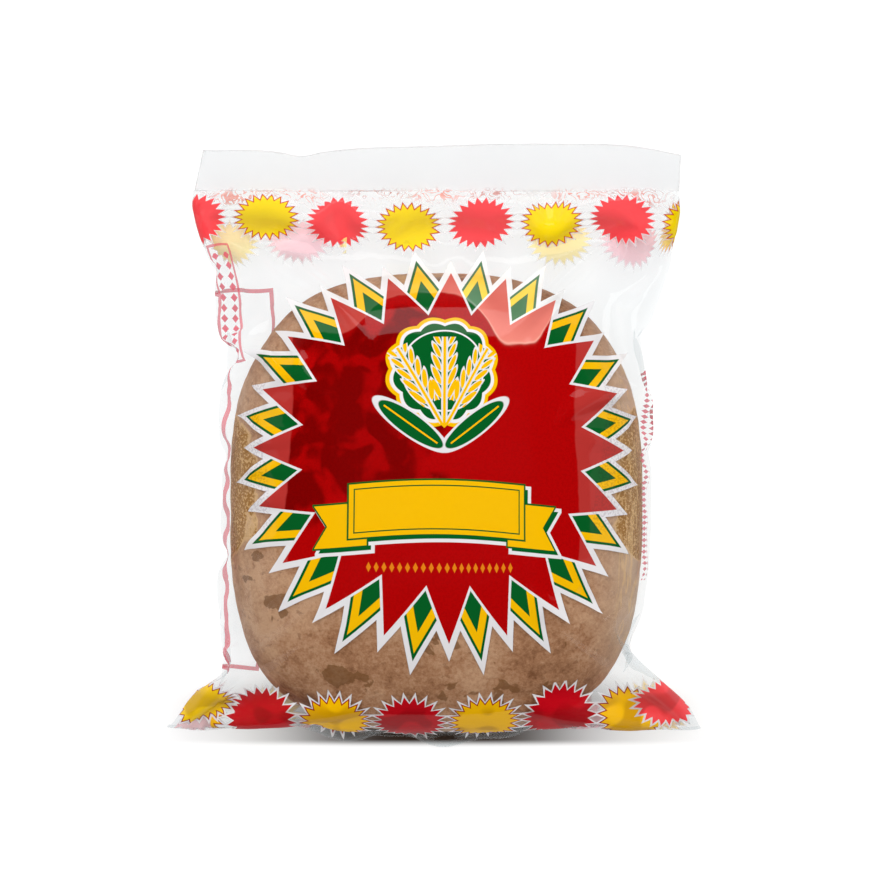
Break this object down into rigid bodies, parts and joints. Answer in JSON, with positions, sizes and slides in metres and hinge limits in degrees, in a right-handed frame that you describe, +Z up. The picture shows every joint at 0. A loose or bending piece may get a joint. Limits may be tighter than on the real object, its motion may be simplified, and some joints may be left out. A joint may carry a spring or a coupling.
{
  "type": "round bun in a sealed film bag",
  "caption": "Round domed bun sealed in a clear printed film bag, with a flat crimped top end and a folded bottom end, lying on its back.",
  "frame": {"origin": "middle of the bag's outline, on the surface that it lies on", "axes": "+Z up through the printed front, +Y towards the crimped top end, +X to the right as the front is read"},
  "size_m": [0.14, 0.153, 0.0377],
  "materials": {
    "sealed_bag": "clear glossy film, printed, over a brown crust"
  },
  "bodies": {
    "root": {"sealed_bag": "sealed_bag"}
  },
  "joints": []
}
